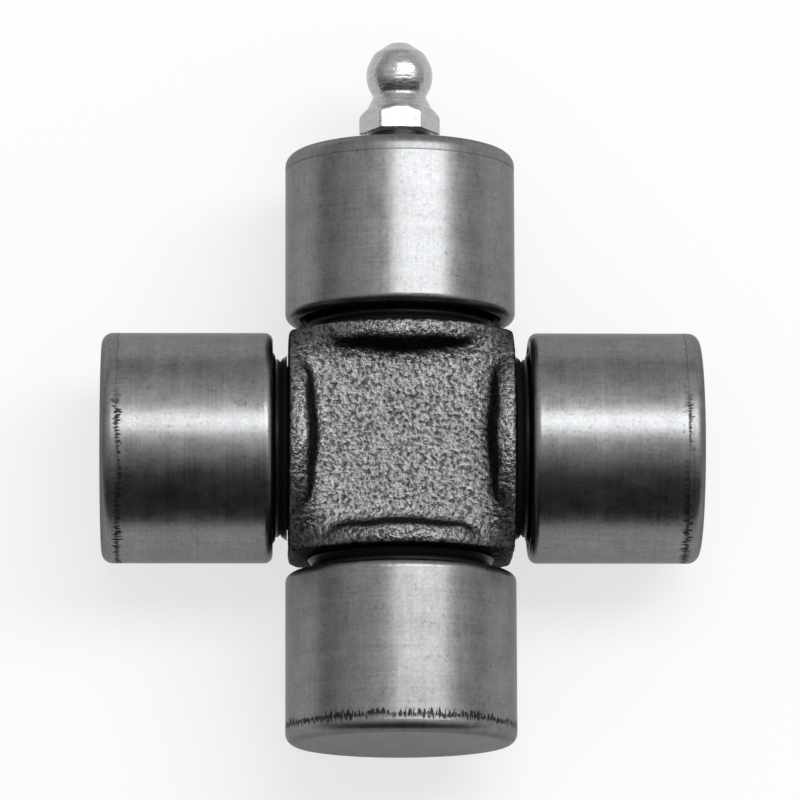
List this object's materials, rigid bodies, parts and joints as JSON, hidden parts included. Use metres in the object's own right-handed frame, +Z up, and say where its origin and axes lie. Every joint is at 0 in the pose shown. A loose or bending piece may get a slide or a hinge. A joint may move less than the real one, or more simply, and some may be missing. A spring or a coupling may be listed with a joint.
{
  "type": "universal joint cross",
  "caption": "Forged cross with needle roller bearing cups and a grease nipple, the hinge piece between the two yokes of a universal joint.",
  "frame": {"origin": "where the two trunnion axes cross, in the middle of the forging", "axes": "+X and +Y along the trunnions, +Y towards the cup with the grease nipple, +Z up from the surface that the cross lies on"},
  "size_m": [0.057, 0.0682, 0.022],
  "materials": {
    "forged_steel": "rough forged, dark",
    "ground_steel": "ground, with storage stains",
    "seal_steel": "pressed, oiled",
    "seal_rubber": "glossy with grease",
    "washer_plastic": "moulded",
    "needle_steel": "polished",
    "zinc_plate": "bright zinc"
  },
  "bodies": {
    "cross": {"cross_body": "forged_steel"},
    "bearing_east": {"cup_east": "ground_steel", "seal_case_east": "seal_steel", "seal_lip_east": "seal_rubber", "thrust_washer_east": "washer_plastic"},
    "needles_east": {"needle_set_east": "needle_steel"},
    "bearing_north": {"cup_north": "ground_steel", "seal_case_north": "seal_steel", "seal_lip_north": "seal_rubber", "thrust_washer_north": "washer_plastic", "nipple_body": "zinc_plate", "nipple_spring": "needle_steel"},
    "needles_north": {"needle_set_north": "needle_steel"},
    "bearing_west": {"cup_west": "ground_steel", "seal_case_west": "seal_steel", "seal_lip_west": "seal_rubber", "thrust_washer_west": "washer_plastic"},
    "needles_west": {"needle_set_west": "needle_steel"},
    "bearing_south": {"cup_south": "ground_steel", "seal_case_south": "seal_steel", "seal_lip_south": "seal_rubber", "thrust_washer_south": "washer_plastic"},
    "needles_south": {"needle_set_south": "needle_steel"},
    "check_ball": {"nipple_ball": "needle_steel"}
  },
  "joints": [
    {"name": "cup_east_turn", "type": "hinge", "parent": "cross", "child": "bearing_east", "pos_m": [0, 0, 0], "axis": [1, 0, 0], "continuous": true},
    {"name": "needles_east_orbit", "type": "hinge", "parent": "cross", "child": "needles_east", "pos_m": [0, 0, 0], "axis": [1, 0, 0], "continuous": true},
    {"name": "cup_north_turn", "type": "hinge", "parent": "cross", "child": "bearing_north", "pos_m": [0, 0, 0], "axis": [0, 1, 0], "continuous": true},
    {"name": "needles_north_orbit", "type": "hinge", "parent": "cross", "child": "needles_north", "pos_m": [0, 0, 0], "axis": [0, 1, 0], "continuous": true},
    {"name": "cup_west_turn", "type": "hinge", "parent": "cross", "child": "bearing_west", "pos_m": [0, 0, 0], "axis": [-1, 0, 0], "continuous": true},
    {"name": "needles_west_orbit", "type": "hinge", "parent": "cross", "child": "needles_west", "pos_m": [0, 0, 0], "axis": [-1, 0, 0], "continuous": true},
    {"name": "cup_south_turn", "type": "hinge", "parent": "cross", "child": "bearing_south", "pos_m": [0, 0, 0], "axis": [0, -1, 0], "continuous": true},
    {"name": "needles_south_orbit", "type": "hinge", "parent": "cross", "child": "needles_south", "pos_m": [0, 0, 0], "axis": [0, -1, 0], "continuous": true},
    {"name": "ball_press", "type": "slide", "parent": "bearing_north", "child": "check_ball", "axis": [0, -1, 0], "range_m": [0, 0.0008], "stiffness_N_per_m": 500, "springref_m": -0.0008, "deforming": ["nipple_spring"]}
  ],
  "couplings": [
    {"joint": "needles_east_orbit", "follows": "cup_east_turn", "ratio": 0.57918},
    {"joint": "needles_north_orbit", "follows": "cup_north_turn", "ratio": 0.57918},
    {"joint": "needles_west_orbit", "follows": "cup_west_turn", "ratio": 0.57918},
    {"joint": "needles_south_orbit", "follows": "cup_south_turn", "ratio": 0.57918}
  ]
}
